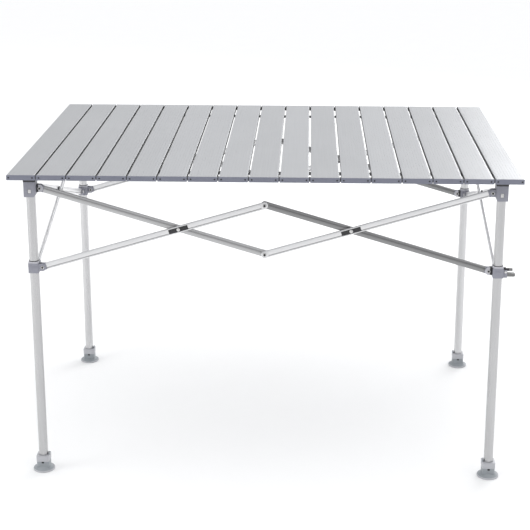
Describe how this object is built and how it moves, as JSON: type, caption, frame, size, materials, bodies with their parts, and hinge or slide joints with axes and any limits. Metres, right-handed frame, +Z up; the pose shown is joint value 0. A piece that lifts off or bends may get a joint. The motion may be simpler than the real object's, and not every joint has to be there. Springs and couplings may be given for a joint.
{
  "type": "folding picnic table",
  "caption": "Roll-top folding camp table: slatted aluminium top on a four-leg scissor frame that closes to a bundle.",
  "frame": {"origin": "on the ground under the middle of the table top", "axes": "+X along the table, across the slats; +Y to the back, along the slats; +Z up"},
  "size_m": [1.075, 0.74, 0.7],
  "materials": {
    "slat_aluminium": "satin anodised extrusion",
    "leg_aluminium": "satin anodised tube",
    "bar_aluminium": "satin grooved flat bar",
    "joint_plastic": "moulded blue grey nylon",
    "sole_plastic": "moulded grey polymer",
    "rivet_steel": "plated steel",
    "insert_plastic": "black moulded insert",
    "strap_elastic": "grey woven elastic"
  },
  "bodies": {
    "frame_front_left": {"leg_front_left": "leg_aluminium", "corner_bracket_front_left": "joint_plastic", "foot_front_left": "sole_plastic"},
    "frame_front_right": {"leg_front_right": "leg_aluminium", "corner_bracket_front_right": "joint_plastic", "foot_front_right": "sole_plastic"},
    "frame_rear_left": {"leg_rear_left": "leg_aluminium", "corner_bracket_rear_left": "joint_plastic", "foot_rear_left": "sole_plastic"},
    "frame_rear_right": {"leg_rear_right": "leg_aluminium", "corner_bracket_rear_right": "joint_plastic", "foot_rear_right": "sole_plastic"},
    "collar_front_left": {"collar_front_left": "joint_plastic"},
    "collar_front_right": {"collar_front_right": "joint_plastic", "lock_pin": "rivet_steel", "lock_spring": "rivet_steel"},
    "collar_rear_left": {"collar_rear_left": "joint_plastic"},
    "collar_rear_right": {"collar_rear_right": "joint_plastic"},
    "front_left_upper_bar": {"front_bar_left_upper": "bar_aluminium", "front_rivet_left_crossing": "rivet_steel", "front_rivet_centre_bottom": "rivet_steel"},
    "front_left_lower_bar": {"front_bar_left_lower": "bar_aluminium", "front_rivet_centre_top": "rivet_steel"},
    "front_right_upper_bar": {"front_bar_right_upper": "bar_aluminium", "front_rivet_right_crossing": "rivet_steel"},
    "front_right_lower_bar": {"front_bar_right_lower": "bar_aluminium"},
    "rear_left_upper_bar": {"rear_bar_left_upper": "bar_aluminium", "rear_rivet_left_crossing": "rivet_steel", "rear_rivet_centre_bottom": "rivet_steel"},
    "rear_left_lower_bar": {"rear_bar_left_lower": "bar_aluminium", "rear_rivet_centre_top": "rivet_steel"},
    "rear_right_upper_bar": {"rear_bar_right_upper": "bar_aluminium", "rear_rivet_right_crossing": "rivet_steel"},
    "rear_right_lower_bar": {"rear_bar_right_lower": "bar_aluminium"},
    "left_upper_bar": {"left_bar_upper_front": "bar_aluminium", "left_rivet_crossing": "rivet_steel"},
    "left_lower_bar": {"left_bar_lower_front": "bar_aluminium"},
    "right_upper_bar": {"right_bar_upper_front": "bar_aluminium", "right_rivet_crossing": "rivet_steel"},
    "right_lower_bar": {"right_bar_lower_front": "bar_aluminium"},
    "slat_01": {"slat_01": "slat_aluminium"},
    "slat_02": {"slat_02": "slat_aluminium"},
    "slat_03": {"slat_03": "slat_aluminium"},
    "slat_04": {"slat_04": "slat_aluminium"},
    "slat_05": {"slat_05": "slat_aluminium"},
    "slat_06": {"slat_06": "slat_aluminium"},
    "slat_07": {"slat_07": "slat_aluminium"},
    "slat_08": {"slat_08": "slat_aluminium"},
    "slat_09": {"slat_09": "slat_aluminium"},
    "slat_10": {"slat_10": "slat_aluminium"},
    "slat_11": {"slat_11": "slat_aluminium"},
    "slat_12": {"slat_12": "slat_aluminium"},
    "slat_13": {"slat_13": "slat_aluminium"},
    "slat_14": {"slat_14": "slat_aluminium"},
    "slat_15": {"slat_15": "slat_aluminium"},
    "slat_16": {"slat_16": "slat_aluminium"},
    "slat_17": {"slat_17": "slat_aluminium"},
    "lock_lever": {"lock_lever": "joint_plastic"}
  },
  "joints": [
    {"name": "frame_fold", "type": "hinge", "parent": "frame_front_left", "child": "front_left_upper_bar", "pos_m": [-0.48, -0.315, 0.6576], "axis": [0, 1, 0], "range_deg": [0, 60]},
    {"name": "front_left_crossing", "type": "hinge", "parent": "front_left_upper_bar", "child": "front_left_lower_bar", "pos_m": [-0.1845, -0.315, 0.57007], "axis": [0, 1, 0], "range_deg": [-120, 0]},
    {"name": "front_centre_bottom_pivot", "type": "hinge", "parent": "front_left_upper_bar", "child": "front_right_upper_bar", "pos_m": [0, -0.315, 0.51542], "axis": [0, 1, 0], "range_deg": [-120, 0]},
    {"name": "front_right_crossing", "type": "hinge", "parent": "front_right_upper_bar", "child": "front_right_lower_bar", "pos_m": [0.1845, -0.315, 0.57007], "axis": [0, 1, 0], "range_deg": [0, 120]},
    {"name": "front_left_collar_pivot", "type": "hinge", "parent": "front_left_lower_bar", "child": "collar_front_left", "pos_m": [-0.48, -0.315, 0.48254], "axis": [0, 1, 0], "range_deg": [0, 60]},
    {"name": "front_right_leg_pivot", "type": "hinge", "parent": "front_right_upper_bar", "child": "frame_front_right", "pos_m": [0.48, -0.315, 0.6576], "axis": [0, 1, 0], "range_deg": [0, 60]},
    {"name": "front_right_collar_pivot", "type": "hinge", "parent": "front_right_lower_bar", "child": "collar_front_right", "pos_m": [0.48, -0.315, 0.48254], "axis": [0, 1, 0], "range_deg": [-60, 0]},
    {"name": "left_front_leg_pivot", "type": "hinge", "parent": "frame_front_left", "child": "left_upper_bar", "pos_m": [-0.4995, -0.2955, 0.6576], "axis": [1, 0, 0], "range_deg": [-60, 0]},
    {"name": "left_crossing", "type": "hinge", "parent": "left_upper_bar", "child": "left_lower_bar", "pos_m": [-0.4995, 0, 0.57007], "axis": [1, 0, 0], "range_deg": [0, 120]},
    {"name": "left_rear_collar_pivot", "type": "hinge", "parent": "left_upper_bar", "child": "collar_rear_left", "pos_m": [-0.4995, 0.2955, 0.48254], "axis": [1, 0, 0], "range_deg": [0, 60]},
    {"name": "left_rear_leg_pivot", "type": "hinge", "parent": "left_lower_bar", "child": "frame_rear_left", "pos_m": [-0.4995, 0.2955, 0.6576], "axis": [1, 0, 0], "range_deg": [-60, 0]},
    {"name": "right_front_leg_pivot", "type": "hinge", "parent": "frame_front_right", "child": "right_upper_bar", "pos_m": [0.4995, -0.2955, 0.6576], "axis": [1, 0, 0], "range_deg": [-60, 0]},
    {"name": "right_crossing", "type": "hinge", "parent": "right_upper_bar", "child": "right_lower_bar", "pos_m": [0.4995, 0, 0.57007], "axis": [1, 0, 0], "range_deg": [0, 120]},
    {"name": "right_rear_collar_pivot", "type": "hinge", "parent": "right_upper_bar", "child": "collar_rear_right", "pos_m": [0.4995, 0.2955, 0.48254], "axis": [1, 0, 0], "range_deg": [0, 60]},
    {"name": "right_rear_leg_pivot", "type": "hinge", "parent": "right_lower_bar", "child": "frame_rear_right", "pos_m": [0.4995, 0.2955, 0.6576], "axis": [1, 0, 0], "range_deg": [-60, 0]},
    {"name": "rear_left_leg_pivot", "type": "hinge", "parent": "frame_rear_left", "child": "rear_left_upper_bar", "pos_m": [-0.48, 0.315, 0.6576], "axis": [0, 1, 0], "range_deg": [0, 60]},
    {"name": "rear_left_crossing", "type": "hinge", "parent": "rear_left_upper_bar", "child": "rear_left_lower_bar", "pos_m": [-0.1845, 0.315, 0.57007], "axis": [0, 1, 0], "range_deg": [-120, 0]},
    {"name": "rear_centre_bottom_pivot", "type": "hinge", "parent": "rear_left_upper_bar", "child": "rear_right_upper_bar", "pos_m": [0, 0.315, 0.51542], "axis": [0, 1, 0], "range_deg": [-120, 0]},
    {"name": "rear_right_crossing", "type": "hinge", "parent": "rear_right_upper_bar", "child": "rear_right_lower_bar", "pos_m": [0.1845, 0.315, 0.57007], "axis": [0, 1, 0], "range_deg": [0, 120]},
    {"name": "top_lift", "type": "slide", "parent": "frame_front_left", "child": "slat_01", "axis": [0, 0, 1], "range_m": [0, 0.05]},
    {"name": "top_roll", "type": "hinge", "parent": "slat_01", "child": "slat_02", "pos_m": [-0.47625, 0, 0.7], "axis": [0, -1, 0], "range_deg": [0, 31]},
    {"name": "top_roll_02", "type": "hinge", "parent": "slat_02", "child": "slat_03", "pos_m": [-0.41275, 0, 0.7], "axis": [0, -1, 0], "range_deg": [0, 32.73]},
    {"name": "top_roll_03", "type": "hinge", "parent": "slat_03", "child": "slat_04", "pos_m": [-0.34925, 0, 0.7], "axis": [0, -1, 0], "range_deg": [0, 34.47]},
    {"name": "top_roll_04", "type": "hinge", "parent": "slat_04", "child": "slat_05", "pos_m": [-0.28575, 0, 0.7], "axis": [0, -1, 0], "range_deg": [0, 36.2]},
    {"name": "top_roll_05", "type": "hinge", "parent": "slat_05", "child": "slat_06", "pos_m": [-0.22225, 0, 0.7], "axis": [0, -1, 0], "range_deg": [0, 37.93]},
    {"name": "top_roll_06", "type": "hinge", "parent": "slat_06", "child": "slat_07", "pos_m": [-0.15875, 0, 0.7], "axis": [0, -1, 0], "range_deg": [0, 39.67]},
    {"name": "top_roll_07", "type": "hinge", "parent": "slat_07", "child": "slat_08", "pos_m": [-0.09525, 0, 0.7], "axis": [0, -1, 0], "range_deg": [0, 41.4]},
    {"name": "top_roll_08", "type": "hinge", "parent": "slat_08", "child": "slat_09", "pos_m": [-0.03175, 0, 0.7], "axis": [0, -1, 0], "range_deg": [0, 43.13]},
    {"name": "top_roll_09", "type": "hinge", "parent": "slat_09", "child": "slat_10", "pos_m": [0.03175, 0, 0.7], "axis": [0, -1, 0], "range_deg": [0, 44.87]},
    {"name": "top_roll_10", "type": "hinge", "parent": "slat_10", "child": "slat_11", "pos_m": [0.09525, 0, 0.7], "axis": [0, -1, 0], "range_deg": [0, 46.6]},
    {"name": "top_roll_11", "type": "hinge", "parent": "slat_11", "child": "slat_12", "pos_m": [0.15875, 0, 0.7], "axis": [0, -1, 0], "range_deg": [0, 48.33]},
    {"name": "top_roll_12", "type": "hinge", "parent": "slat_12", "child": "slat_13", "pos_m": [0.22225, 0, 0.7], "axis": [0, -1, 0], "range_deg": [0, 50.07]},
    {"name": "top_roll_13", "type": "hinge", "parent": "slat_13", "child": "slat_14", "pos_m": [0.28575, 0, 0.7], "axis": [0, -1, 0], "range_deg": [0, 51.8]},
    {"name": "top_roll_14", "type": "hinge", "parent": "slat_14", "child": "slat_15", "pos_m": [0.34925, 0, 0.7], "axis": [0, -1, 0], "range_deg": [0, 53.53]},
    {"name": "top_roll_15", "type": "hinge", "parent": "slat_15", "child": "slat_16", "pos_m": [0.41275, 0, 0.7], "axis": [0, -1, 0], "range_deg": [0, 55.27]},
    {"name": "top_roll_16", "type": "hinge", "parent": "slat_16", "child": "slat_17", "pos_m": [0.47625, 0, 0.7], "axis": [0, -1, 0], "range_deg": [0, 57]},
    {"name": "lock_press", "type": "hinge", "parent": "collar_front_right", "child": "lock_lever", "pos_m": [0.5155, -0.315, 0.48254], "axis": [0, 1, 0], "range_deg": [0, 18], "stiffness_Nm_per_rad": 0.12, "springref_deg": -20.05}
  ],
  "couplings": [
    {"joint": "front_left_crossing", "follows": "frame_fold", "ratio": -2},
    {"joint": "front_centre_bottom_pivot", "follows": "frame_fold", "ratio": -2},
    {"joint": "front_right_crossing", "follows": "frame_fold", "ratio": 2},
    {"joint": "front_left_collar_pivot", "follows": "frame_fold", "ratio": 1},
    {"joint": "front_right_leg_pivot", "follows": "frame_fold", "ratio": 1},
    {"joint": "front_right_collar_pivot", "follows": "frame_fold", "ratio": -1},
    {"joint": "left_front_leg_pivot", "follows": "frame_fold", "ratio": -1},
    {"joint": "left_crossing", "follows": "frame_fold", "ratio": 2},
    {"joint": "left_rear_collar_pivot", "follows": "frame_fold", "ratio": 1},
    {"joint": "left_rear_leg_pivot", "follows": "frame_fold", "ratio": -1},
    {"joint": "right_front_leg_pivot", "follows": "frame_fold", "ratio": -1},
    {"joint": "right_crossing", "follows": "frame_fold", "ratio": 2},
    {"joint": "right_rear_collar_pivot", "follows": "frame_fold", "ratio": 1},
    {"joint": "right_rear_leg_pivot", "follows": "frame_fold", "ratio": -1},
    {"joint": "rear_left_leg_pivot", "follows": "frame_fold", "ratio": 1},
    {"joint": "rear_left_crossing", "follows": "frame_fold", "ratio": -2},
    {"joint": "rear_centre_bottom_pivot", "follows": "frame_fold", "ratio": -2},
    {"joint": "rear_right_crossing", "follows": "frame_fold", "ratio": 2},
    {"joint": "top_roll_02", "follows": "top_roll", "ratio": 1.0559},
    {"joint": "top_roll_03", "follows": "top_roll", "ratio": 1.1118},
    {"joint": "top_roll_04", "follows": "top_roll", "ratio": 1.1677},
    {"joint": "top_roll_05", "follows": "top_roll", "ratio": 1.2237},
    {"joint": "top_roll_06", "follows": "top_roll", "ratio": 1.2796},
    {"joint": "top_roll_07", "follows": "top_roll", "ratio": 1.3355},
    {"joint": "top_roll_08", "follows": "top_roll", "ratio": 1.3914},
    {"joint": "top_roll_09", "follows": "top_roll", "ratio": 1.4473},
    {"joint": "top_roll_10", "follows": "top_roll", "ratio": 1.5032},
    {"joint": "top_roll_11", "follows": "top_roll", "ratio": 1.5591},
    {"joint": "top_roll_12", "follows": "top_roll", "ratio": 1.6151},
    {"joint": "top_roll_13", "follows": "top_roll", "ratio": 1.671},
    {"joint": "top_roll_14", "follows": "top_roll", "ratio": 1.7269},
    {"joint": "top_roll_15", "follows": "top_roll", "ratio": 1.7828},
    {"joint": "top_roll_16", "follows": "top_roll", "ratio": 1.8387}
  ]
}
